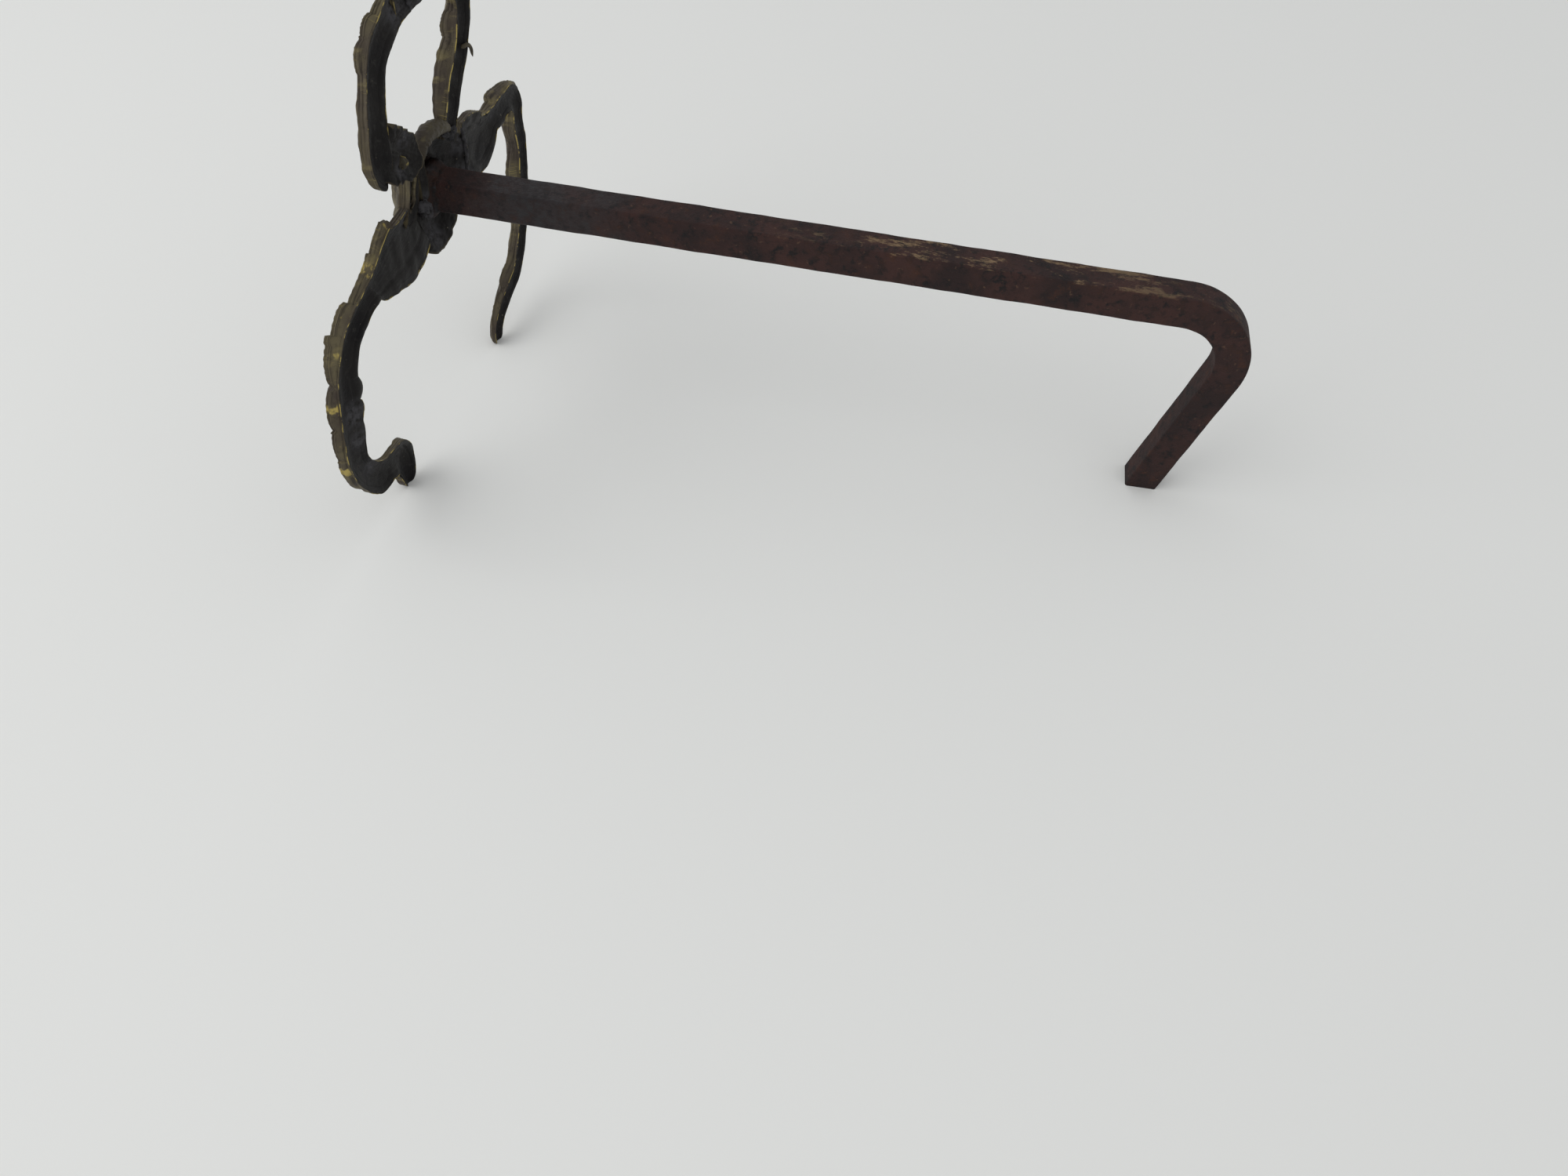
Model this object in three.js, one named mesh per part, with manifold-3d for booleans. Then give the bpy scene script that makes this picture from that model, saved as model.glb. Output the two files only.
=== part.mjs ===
// A rococo andiron: a square iron log bar, bent down behind to make its rear foot, carries a front
// of hollow-backed brass castings. Two scrolled legs, the two arms of a loop and a crest are brazed
// to a fluted cartouche, and the bar's front end sits in a collar behind that cartouche.
//
// Millimetres, +Z up. The front looks towards -Y and the bar runs back along +Y. The castings are
// drawn flat, on the leaning plane of their backs: "across" is +X, "up" is measured from the middle
// of the cartouche, and "deep" is measured from the plane of the backs towards the front.

import * as THREE from 'three';
import { mergeVertices } from 'three/addons/utils/BufferGeometryUtils.js';
import Module from 'manifold-3d';

const wasm = await Module();
wasm.setup();

// ---- Driving sizes: the iron ----
const barSide = 16; // square section
const barHeight = 126; // floor to the middle of the bar where it leaves the front
const barReach = 395; // plane of the backs to the outside of the bend
const barFallDeg = 1.9; // the bar drops a little towards the rear
const barSkewDeg = 1.8; // and leaves the front a little out of square
const bendRadius = 30; // to the middle of the bar
const rearLegLeanDeg = 13; // the rear leg runs forward as it goes down
const barChamfer = 0.9; // worn edges of the bar
const tenonSide = 15; // its front end is drawn down a little, with a shoulder, to go into the collar

// ---- Driving sizes: how the pieces meet ----
const frontLeanDeg = 5.3; // the front leans back over the bar
const frontAside = 2.5; // the cartouche's middle stands this far to the right of the bar
const seatGap = 0.3; // room between brazed pieces
const barSeat = 11; // length of bar held in the collar
const collarWall = 3; // metal around the bar's end
const collarCorner = 3.5; // radius of its outer corners
const collarFloor = 3; // metal in front of the bar's end
const collarRecess = 3; // how far inside the hollow its rear face lies
const seatRelief = 6; // how far a seat runs on behind the plane of the backs

// ---- Driving sizes: the cast members ----
const frontWidth = 240; // across the two legs
const drawnWidth = 240; // the width for which the tables of points below are drawn
const edgeDepth = 4.5; // depth of a member's side walls, where its table gives no other
const crownDepth = 3.5; // how far the moulded front rises between them
const channelDepth = 2.5; // hollow along the back of a member
const footFlat = 1; // filed off the lowest curve of each foot, so that it stands flat

// ---- Driving sizes: the cartouche and the leaf ----
const cartoucheDome = 20; // rise of the cartouche's front over its rim
const cartoucheHollow = 11; // depth of the hollow behind it
const fluteCount = 3; // flutes around the dome
const fluteHeight = 1.2;
const leafDome = 5; // swell of the broad leaf on the right leg
const leafHollow = 2;

const ringsPerSpan = 5; // cross sections from one named point of a path to the next
const rad = THREE.MathUtils.degToRad;
const frontScale = frontWidth / drawnWidth;

// ---- Places ----

// From the drawing plane to the object: the cartouche's middle goes to the bar's root.
const toFront = new THREE.Matrix4().makeTranslation(frontAside, 0, barHeight)
  .multiply(new THREE.Matrix4().makeRotationX(-rad(frontLeanDeg)));

// A drawn point, on or in front of the drawing plane. Backwards is +Y, so deep is -Y.
const place = (across, up, deep = 0) => new THREE.Vector3(across, -deep, up).multiplyScalar(frontScale);

// A drawn height over the floor, as "up" on the drawing plane.
const overFloor = (height) => (height - barHeight / frontScale) / Math.cos(rad(frontLeanDeg));

// ---- Solids ----

// A closed mesh with shared corners, ready to be joined or cut.
function toSolid(geometry) {
  const bare = new THREE.BufferGeometry();
  bare.setAttribute('position', geometry.getAttribute('position').clone());
  if (geometry.index) bare.setIndex(geometry.index.clone());
  const welded = mergeVertices(bare, 1e-4);
  return new wasm.Manifold(new wasm.Mesh({
    numProp: 3,
    vertProperties: Float32Array.from(welded.getAttribute('position').array),
    triVerts: Uint32Array.from(welded.index.array),
  }));
}

// A solid as a mesh of its own colour.
function toMesh(name, solid, look) {
  const mesh = solid.getMesh();
  const geometry = new THREE.BufferGeometry();
  geometry.setAttribute('position', new THREE.BufferAttribute(Float32Array.from(mesh.vertProperties), 3));
  geometry.setIndex(new THREE.BufferAttribute(Uint32Array.from(mesh.triVerts), 1));
  geometry.computeVertexNormals();
  const part = new THREE.Mesh(geometry, new THREE.MeshStandardMaterial(look));
  part.name = name;
  return part;
}

// Rings with as many points each, skinned into a closed body with a fan over either end.
function skin(rings) {
  const count = rings[0].length;
  const points = rings.flat();
  const faces = [];
  for (let ring = 0; ring + 1 < rings.length; ring += 1) {
    for (let side = 0; side < count; side += 1) {
      const here = ring * count + side;
      const next = ring * count + (side + 1) % count;
      faces.push(here, next, next + count, here, next + count, here + count);
    }
  }
  for (const base of [0, (rings.length - 1) * count]) {
    const middle = new THREE.Vector3();
    for (let side = 0; side < count; side += 1) middle.addScaledVector(points[base + side], 1 / count);
    const tip = points.push(middle) - 1;
    for (let side = 0; side < count; side += 1) {
      const next = (side + 1) % count;
      if (base === 0) faces.push(tip, base + next, base + side);
      else faces.push(tip, base + side, base + next);
    }
  }
  const geometry = new THREE.BufferGeometry().setFromPoints(points);
  geometry.setIndex(faces);
  return toSolid(geometry);
}

// Everything under the floor, taken off what stands on it.
const floorReach = 4 * barReach;
const floorBlock = new THREE.BoxGeometry(floorReach, floorReach, barHeight).translate(0, 0, -barHeight / 2);

// ---- Cast members ----

// Half a member's section, from the middle of its back round to the middle of its front: how far
// out from the centre line, as a share of the half width, and how deep, as shares of the channel,
// the side wall and the crown.
const halfSection = [
  { out: 0, channel: 1, wall: 0, crown: 0 },
  { out: 0.45, channel: 0.8, wall: 0, crown: 0 },
  { out: 0.78, channel: 0, wall: 0, crown: 0 },
  { out: 1, channel: 0, wall: 0.05, crown: 0 },
  { out: 1, channel: 0, wall: 1, crown: 0, leaf: 1 },
  { out: 0.72, channel: 0, wall: 1, crown: 0.6, leaf: 0.8 },
  { out: 0.5, channel: 0, wall: 1, crown: 0.45 },
  { out: 0.26, channel: 0, wall: 1, crown: 0.9 },
  { out: 0, channel: 0, wall: 1, crown: 1 },
];

// How far the leaf edge or ruffle stands out at a place along a member. "from" and "to" are counts
// of named points, and "side" is +1 to the left of the way the path runs and -1 to the right.
function standOut(features, along, side, key) {
  let total = 0;
  for (const feature of features) {
    const inside = along > feature.from && along < feature.to;
    if (!inside || feature.side !== side || !feature[key]) continue;
    const share = (along - feature.from) / (feature.to - feature.from);
    const lobe = Math.abs(Math.sin(Math.PI * feature.lobes * share));
    const fade = Math.sin(Math.PI * share) ** 0.5;
    total += feature[key] * (0.35 + 0.65 * lobe) * fade;
  }
  return total;
}

// A scrolled member through named points. Each point gives the centre line, the width of the back,
// the depth of the side walls where it isn't edgeDepth, and how far the back lies in front of the
// drawing plane. "grow" adds a gap all round.
function member(points, features, grow = 0) {
  const line = new THREE.CatmullRomCurve3(
    points.map((point) => place(point.across, point.up, point.deep ?? 0)), false, 'centripetal');
  const sizes = new THREE.CatmullRomCurve3(
    points.map((point) => new THREE.Vector3(frontScale * point.wide / 2, point.wall ?? edgeDepth, 0)),
    false, 'catmullrom');
  const spans = points.length - 1;
  const rings = [];
  for (let step = 0; step <= spans * ringsPerSpan; step += 1) {
    const share = step / (spans * ringsPerSpan);
    const centre = line.getPoint(share);
    const run = line.getTangent(share);
    const left = new THREE.Vector3(-run.z, 0, run.x).normalize();
    const { x: half, y: wall } = sizes.getPoint(share);
    if (step === 0) centre.addScaledVector(run, -grow);
    if (step === spans * ringsPerSpan) centre.addScaledVector(run, grow);
    const ring = [];
    const put = (row, side) => {
      const along = share * spans;
      const leaf = (row.leaf ?? 0) * standOut(features, along, side, 'leaf');
      const ruffle = (row.out > 0.7 ? 1 : 0) * standOut(features, along, side, 'ruffle');
      const outward = Math.sign(row.out) * (row.out * half + grow + ruffle + leaf);
      const front = row.wall > 0.5;
      const hollow = grow > 0 ? -seatRelief : row.channel * channelDepth * Math.min(1, half / edgeDepth);
      const depth = row.wall * wall + row.crown * crownDepth + (front ? grow + leaf * 0.4 : hollow);
      ring.push(centre.clone().addScaledVector(left, side * outward).add(new THREE.Vector3(0, -depth, 0)));
    };
    halfSection.forEach((row) => put(row, 1));
    halfSection.slice(1, -1).reverse().forEach((row) => put(row, -1));
    rings.push(ring);
  }
  return skin(rings);
}

// A domed casting inside a closed outline: the front swells from its rim to its middle, with
// flutes that follow the rim, and the back is hollowed.
function domed({ outline, rimDepth, dome, hollow, flutes = 0, sides = 28, hoops = 5, grow = 0 }) {
  const rim = new THREE.CatmullRomCurve3(outline.map(([across, up]) => place(across, up)), true, 'centripetal');
  const edge = rim.getSpacedPoints(sides).slice(0, sides);
  const middle = new THREE.Vector3();
  edge.forEach((point) => middle.addScaledVector(point, 1 / sides));
  edge.forEach((point) => point.addScaledVector(point.clone().sub(middle).normalize(), grow * 1.3));
  const hoop = (share, deep) => edge.map((point) => {
    const spot = middle.clone().lerp(point, share);
    spot.y -= deep;
    return spot;
  });
  const rings = [];
  for (let step = 1; step <= hoops; step += 1) {
    const share = step / hoops;
    rings.push(hoop(share, hollow * (1 - share ** 2)));
  }
  for (let step = hoops; step >= 1; step -= 1) {
    const share = step / hoops;
    const swell = dome * (1 - share ** 2.2);
    const flute = flutes * fluteHeight * Math.cos(2 * Math.PI * fluteCount * share) * share;
    rings.push(hoop(share * (step === hoops ? 0.97 : 1), rimDepth + swell + flute));
  }
  return skin(rings);
}

// ---- The bar and its collar ----

// The bar's side view behind its tenon, in the bar's own frame: x runs back from the plane of the
// backs and y is up. Its bottom is cut by the floor afterwards.
function barProfile() {
  const turn = rad(90 + rearLegLeanDeg - barFallDeg);
  const inner = bendRadius - barSide / 2;
  const outer = bendRadius + barSide / 2;
  const bendAt = barReach / Math.cos(rad(barFallDeg)) - outer;
  const shoulder = collarRecess - seatGap;
  const legLength = barHeight + barSide;
  const outerEnd = new THREE.Vector2(bendAt + outer * Math.sin(turn), -bendRadius + outer * Math.cos(turn));
  const innerEnd = new THREE.Vector2(bendAt + inner * Math.sin(turn), -bendRadius + inner * Math.cos(turn));
  const down = new THREE.Vector2(Math.cos(turn), -Math.sin(turn)).multiplyScalar(legLength);
  const profile = new THREE.Shape();
  profile.moveTo(-shoulder, -barSide / 2);
  profile.lineTo(-shoulder, barSide / 2);
  profile.lineTo(bendAt, barSide / 2);
  profile.absarc(bendAt, -bendRadius, outer, Math.PI / 2, Math.PI / 2 - turn, true);
  profile.lineTo(outerEnd.x + down.x, outerEnd.y + down.y);
  profile.lineTo(innerEnd.x + down.x, innerEnd.y + down.y);
  profile.lineTo(innerEnd.x, innerEnd.y);
  profile.absarc(bendAt, -bendRadius, inner, Math.PI / 2 - turn, Math.PI / 2, false);
  profile.closePath();
  return profile;
}

// From the bar's own frame (x back, y up, z to the left) to the object.
const toBar = new THREE.Matrix4().makeTranslation(0, 0, barHeight)
  .multiply(new THREE.Matrix4().makeRotationZ(rad(barSkewDeg)))
  .multiply(new THREE.Matrix4().makeRotationX(-rad(barFallDeg)))
  .multiply(new THREE.Matrix4().makeBasis(
    new THREE.Vector3(0, 1, 0), new THREE.Vector3(0, 0, 1), new THREE.Vector3(1, 0, 0)));

const logBar = new THREE.ExtrudeGeometry(barProfile(), {
  depth: barSide - 2 * barChamfer,
  bevelEnabled: true,
  bevelThickness: barChamfer,
  bevelSize: barChamfer,
  bevelOffset: -barChamfer,
  bevelSegments: 1,
  curveSegments: 12,
}).translate(0, 0, -barSide / 2 + barChamfer).applyMatrix4(toBar);

// A square block along the bar's line, with its corners rounded.
function barBlock(side, corner, front, back) {
  const half = side / 2;
  const flat = half - corner;
  const shape = new THREE.Shape();
  shape.moveTo(flat, -half);
  shape.absarc(flat, -flat, corner, -Math.PI / 2, 0, false);
  shape.absarc(flat, flat, corner, 0, Math.PI / 2, false);
  shape.absarc(-flat, flat, corner, Math.PI / 2, Math.PI, false);
  shape.absarc(-flat, -flat, corner, Math.PI, 1.5 * Math.PI, false);
  return toSolid(new THREE.ExtrudeGeometry(shape, { depth: front + back, bevelEnabled: false, curveSegments: 4 })
    .rotateY(Math.PI / 2).translate(-front, 0, 0).applyMatrix4(toBar));
}

const tenon = barBlock(tenonSide, barChamfer, barSeat, 0);
const pocketSide = tenonSide + 2 * seatGap;
const collarSide = pocketSide + 2 * collarWall;
const collarFront = barSeat + seatGap + collarFloor;
const collar = barBlock(collarSide, collarCorner, collarFront, -collarRecess)
  .subtract(barBlock(pocketSide, seatGap, barSeat + seatGap, barReach));
const collarSeat = barBlock(collarSide + 2 * seatGap, collarCorner + seatGap, collarFront + seatGap, barReach);

// ---- The legs ----

const leftLeg = [
  { across: -31, up: 1, wide: 34 },
  { across: -41, up: 0, wide: 34 },
  { across: -52, up: -4, wide: 30, wall: 5 },
  { across: -62, up: -3, wide: 23, wall: 6 },
  { across: -69, up: -1, wide: 16, wall: 6 },
  { across: -80, up: -1, wide: 15, wall: 6 },
  { across: -92, up: -1, wide: 15, wall: 6 },
  { across: -99, up: -9, wide: 14, wall: 7 },
  { across: -99, up: -21, wide: 12, wall: 8 },
  { across: -101, up: -34, wide: 12, wall: 7 },
  { across: -99, up: -48, wide: 12, wall: 7 },
  { across: -96, up: overFloor(65), wide: 13, wall: 5 },
  { across: -88, up: overFloor(44), wide: 13, wall: 5 },
  { across: -75, up: overFloor(26), wide: 13, wall: 5 },
  { across: -60, up: overFloor(20), wide: 13, wall: 5 },
  { across: -47, up: overFloor(16), wide: 14, wall: 5 },
  { across: -39, up: overFloor(9), wide: 14, wall: 5 },
  { across: -38, up: overFloor(-footFlat), wide: 9, wall: 5 },
];
const leftLegEdges = [
  { side: -1, from: 4.7, to: 7.6, lobes: 2, leaf: 2 },
  { side: 1, from: 8.8, to: 11.6, lobes: 1, leaf: 4 },
  { side: 1, from: 12, to: 16.2, lobes: 3, leaf: 2.5 },
];

const rightLeg = [
  { across: 36, up: 6, wide: 22 },
  { across: 54, up: 3, wide: 21 },
  { across: 70, up: -2, wide: 16 },
  { across: 85, up: -5, wide: 15 },
  { across: 99, up: -10, wide: 16, wall: 5 },
  { across: 109, up: -21, wide: 17, wall: 5 },
  { across: 114, up: -35, wide: 18 },
  { across: 118, up: -50, wide: 18 },
  { across: 119, up: overFloor(62), wide: 17, deep: 1 },
  { across: 115, up: overFloor(45), wide: 15, wall: 4, deep: 2 },
  { across: 103, up: overFloor(30), wide: 19, wall: 4, deep: 2 },
  { across: 92, up: overFloor(27), wide: 18, wall: 4, deep: 2 },
  { across: 82, up: overFloor(22), wide: 19, wall: 5, deep: 3 },
  { across: 79, up: overFloor(13), wide: 19, wall: 5, deep: 4 },
  { across: 80, up: overFloor(5), wide: 15, wall: 5, deep: 3 },
  { across: 81, up: overFloor(-footFlat), wide: 9, wall: 5, deep: 3 },
];
const rightLegEdges = [
  { side: 1, from: 1, to: 2.9, lobes: 1, leaf: 3 },
  { side: 1, from: 2.9, to: 4.7, lobes: 1, leaf: 4 },
  { side: 1, from: 4.7, to: 9, lobes: 2, leaf: 2.5 },
  { side: -1, from: 5.2, to: 8.2, lobes: 4, ruffle: 2.5 },
];

// The broad leaf under the right leg's first scroll.
const leafOutline = [
  [24, -21], [36, -25], [47, -23], [59, -20], [70, -16], [74, -8], [62, 4], [50, 13], [38, 20], [22, 18],
];

// ---- The loop and the crest ----

const leftArm = [
  { across: -17, up: 17, wide: 14 },
  { across: -23, up: 26, wide: 13, wall: 5 },
  { across: -31, up: 37, wide: 14, wall: 6 },
  { across: -42, up: 48, wide: 14, wall: 7 },
  { across: -49, up: 60, wide: 15, wall: 7 },
  { across: -51, up: 70, wide: 16, wall: 5 },
  { across: -45, up: 82, wide: 16 },
  { across: -31, up: 90, wide: 17 },
  { across: -13, up: 93, wide: 17 },
];
const leftArmEdges = [
  { side: -1, from: 0.7, to: 3.8, lobes: 2, leaf: 3.5 },
];

const rightArm = [
  { across: 19, up: 3, wide: 8, deep: -1 },
  { across: 22, up: 18, wide: 12, deep: -3 },
  { across: 30, up: 33, wide: 20, deep: -4 },
  { across: 42, up: 45, wide: 23, deep: -4 },
  { across: 49, up: 59, wide: 18, deep: -4 },
  { across: 42, up: 72, wide: 16, deep: -2 },
  { across: 33, up: 82, wide: 16 },
  { across: 22, up: 88, wide: 16 },
  { across: 10, up: 93, wide: 17 },
];
const rightArmEdges = [
  { side: -1, from: 1.8, to: 3.8, lobes: 3, ruffle: 1.5 },
  { side: 1, from: 1.6, to: 3.8, lobes: 5, ruffle: 2.5 },
  { side: -1, from: 5.8, to: 7.8, lobes: 1, leaf: 1.2 },
];

const crest = [
  { across: -3, up: 85, wide: 26 },
  { across: -2, up: 96, wide: 26 },
  { across: 5, up: 112, wide: 22 },
  { across: 11, up: 131, wide: 19 },
  { across: 9, up: 154, wide: 18 },
  { across: -5, up: 173, wide: 18 },
  { across: -26, up: 180, wide: 18 },
  { across: -42, up: 170, wide: 16 },
  { across: -41, up: 155, wide: 14 },
  { across: -30, up: 149, wide: 12 },
  { across: -23, up: 157, wide: 8 },
];
const crestEdges = [
  { side: 1, from: 2, to: 6, lobes: 4, leaf: 5 },
];

// ---- The cartouche ----

const cartoucheOutline = [
  [-8, -24], [5, -28], [18, -23], [26, -12], [31, 4], [39, 18], [37, 26], [24, 27], [10, 26],
  [-1, 30], [-12, 28], [-22, 20], [-33, 11], [-34, -5], [-27, -15], [-18, -19],
];

// ---- Putting it together ----

const cutter = (points, features) => member(points, features, seatGap);
const leftArmSolid = member(leftArm, leftArmEdges);
const rightArmSolid = member(rightArm, rightArmEdges);
const armCutters = [cutter(leftArm, leftArmEdges), cutter(rightArm, rightArmEdges)];

const leafPlain = domed({ outline: leafOutline, rimDepth: edgeDepth, dome: leafDome, hollow: leafHollow });
const leafGrown = domed({
  outline: leafOutline, rimDepth: edgeDepth + seatGap, dome: leafDome, hollow: -seatRelief, grow: seatGap,
});

const less = (solid, cutters) => cutters.reduce((rest, cut) => rest.subtract(cut), solid);
const leftLegSolid = less(member(leftLeg, leftLegEdges), armCutters);
const rightLegSolid = less(member(rightLeg, rightLegEdges).add(leafPlain), armCutters);
const crestSolid = less(member(crest, crestEdges), armCutters);
const cartoucheSolid = less(
  domed({
    outline: cartoucheOutline,
    rimDepth: edgeDepth,
    dome: cartoucheDome,
    hollow: cartoucheHollow,
    flutes: 1,
    sides: 40,
    hoops: 9,
  }),
  [...armCutters, cutter(leftLeg, leftLegEdges), cutter(rightLeg, rightLegEdges), leafGrown],
);

const floor = toSolid(floorBlock);
const ground = (solid) => solid.subtract(floor);
const lean = (solid) => solid.transform(toFront.toArray());

const iron = { color: 0x3e2c2a, roughness: 0.85, metalness: 0.3 };
const brass = { color: 0x5a4f34, roughness: 0.55, metalness: 0.8 };
const darkBrass = { color: 0x3d3a33, roughness: 0.7, metalness: 0.6 };

const andiron = new THREE.Group();
andiron.add(toMesh('log_bar', ground(toSolid(logBar).add(tenon)), iron));
andiron.add(toMesh('bar_collar', collar, darkBrass));
andiron.add(toMesh('cartouche', lean(cartoucheSolid).subtract(collarSeat), brass));
andiron.add(toMesh('left_leg', ground(lean(leftLegSolid)), brass));
andiron.add(toMesh('right_leg', ground(lean(rightLegSolid)), brass));
andiron.add(toMesh('left_arm', lean(leftArmSolid), brass));
andiron.add(toMesh('right_arm', lean(rightArmSolid), brass));
andiron.add(toMesh('crest', lean(crestSolid), brass));

// The origin is on the floor under the middle of the whole.
const whole = new THREE.Box3().setFromObject(andiron);
const middle = whole.getCenter(new THREE.Vector3());
andiron.position.set(-middle.x, -middle.y, 0);

export default andiron;
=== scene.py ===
import math

import bpy
import numpy as np
from mathutils import Matrix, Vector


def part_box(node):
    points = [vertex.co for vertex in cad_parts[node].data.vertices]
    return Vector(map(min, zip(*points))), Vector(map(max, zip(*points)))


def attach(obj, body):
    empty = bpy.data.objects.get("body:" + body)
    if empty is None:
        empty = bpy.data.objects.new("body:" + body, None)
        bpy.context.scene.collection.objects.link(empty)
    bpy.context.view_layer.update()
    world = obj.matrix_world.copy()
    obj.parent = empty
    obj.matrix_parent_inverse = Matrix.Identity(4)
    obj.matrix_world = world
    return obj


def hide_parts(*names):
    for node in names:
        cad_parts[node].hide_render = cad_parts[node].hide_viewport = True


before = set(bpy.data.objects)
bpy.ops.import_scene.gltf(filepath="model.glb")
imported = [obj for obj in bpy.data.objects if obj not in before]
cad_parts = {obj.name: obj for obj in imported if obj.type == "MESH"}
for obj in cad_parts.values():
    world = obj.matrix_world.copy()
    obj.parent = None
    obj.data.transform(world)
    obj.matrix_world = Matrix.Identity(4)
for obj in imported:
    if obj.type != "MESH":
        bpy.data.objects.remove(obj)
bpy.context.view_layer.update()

mm = 0.001

# ---- The log bar ----
# A length of square iron, forged: its front end is drawn down into the collar, and its rear end is
# bent down and cut flat to stand on the hearth. The edges are worn round, and the skin is hammered,
# scaled and rusted, with a smooth blue-grey stretch near the front and scuffs where logs have lain.

bar_side = 16 * mm
bar_edge = 1.3 * mm  # the radius that its edges are worn to
bar_wave = 0.18 * mm  # how far hammering lets its sides swell and sink
bar_fall = math.radians(1.9)  # it falls towards the rear
bar_skew = math.radians(1.8)  # and runs off a little to the left
bar_shoulder = 2.7 * mm  # its full section starts this far in front of its root
bend_radius = 30 * mm
rear_lean = math.radians(13)
rear_leg = 135 * mm  # longer than it needs to be, because the floor cuts it off
sole_gap = 0.4 * mm  # rings that reach lower than this give way to the flat sole
tenon_half = 7.5 * mm
tenon_from = -11 * mm
tenon_to = -2.5 * mm
straight_rings = 260
bend_rings = 90
leg_rings = 110
tenon_rings = 12
collar_to_backs = 8.65 * mm  # along the bar, from the collar's middle to the plane of the castings' backs


def unit(vectors):
    """Each vector divided by its own length."""
    return vectors / np.linalg.norm(vectors, axis=-1, keepdims=True)


def wander(values, seed, longest):
    """A smooth curve in "values", about 1 high: for k = 0, 1, 2 a wave of length longest / 2^k and
    one 2.35 times as fine, with random phases, each pair half as high as the one before."""
    draw = np.random.default_rng(seed)
    total = np.zeros_like(values, dtype=float)
    for octave in range(3):
        turn = draw.uniform(0, 2 * np.pi, 2)
        pitch = longest / 2 ** octave
        waves = np.sin(2 * np.pi * values / pitch + turn[0]) + np.sin(4.7 * np.pi * values / pitch + turn[1])
        total += waves / 2 ** (octave + 1)
    return total


def rounded_square(half, corner):
    """A square of half width "half" with corners of radius "corner", run anticlockwise as x and y."""
    turns = np.linspace(0, np.pi / 2, 6)
    flat = np.linspace(-(half - corner), half - corner, 7)[1:-1]
    centre = half - corner
    edge = np.stack([np.full_like(flat, half), flat], -1)
    arc = np.stack([centre + corner * np.cos(turns), centre + corner * np.sin(turns)], -1)
    quarter = np.concatenate([edge, arc])
    sides = []
    for angle in np.arange(4) * np.pi / 2:
        spin = np.array([[np.cos(angle), np.sin(angle)], [-np.sin(angle), np.cos(angle)]])
        sides.append(quarter @ spin)
    return np.concatenate(sides)


def skin(name, rings, material, marks=None, replaced=()):
    """Rings of points, joined by quads, with a fan of triangles over either end, as one closed piece
    that rides on the andiron. "marks" are numbers for each point, kept for its material."""
    count, around = rings.shape[:2]
    points = np.concatenate([rings.reshape(-1, 3), rings[:1].mean(1), rings[-1:].mean(1)])
    first_of_ring = np.arange(count - 1)[:, None] * around
    side = np.arange(around)
    beyond = (side + 1) % around
    here = first_of_ring + side
    beside = first_of_ring + beyond
    quads = np.stack([here, beside, beside + around, here + around], -1).reshape(-1, 4)
    last = (count - 1) * around
    start = np.stack([np.full(around, count * around), beyond, side], -1)
    end = np.stack([np.full(around, count * around + 1), last + side, last + beyond], -1)
    fans = np.concatenate([start, end])
    corners = points[quads]
    normals = np.cross(corners[:, 1], corners[:, 2]) + np.cross(corners[:, 2], corners[:, 3])
    if (corners[:, 0] * normals).sum() < 0:  # the volume is below nothing, so the faces look inwards
        quads, fans = quads[:, ::-1], fans[:, ::-1]
    mesh = bpy.data.meshes.new(name)
    mesh.from_pydata(points.tolist(), [], quads.tolist() + fans.tolist())
    mesh.polygons.foreach_set("use_smooth", np.ones(len(mesh.polygons), bool))
    for key, values in (marks or {}).items():
        values = np.broadcast_to(values, (count, around))
        flat = np.concatenate([values.ravel(), values[:1].mean(1), values[-1:].mean(1)])
        mesh.attributes.new(key, "FLOAT", "POINT").data.foreach_set("value", flat.astype(np.float32))
    mesh.materials.append(material)
    mesh.update()
    piece = bpy.data.objects.new(name, mesh)
    bpy.context.scene.collection.objects.link(piece)
    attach(piece, "root")
    if replaced:
        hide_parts(*replaced)


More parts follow.
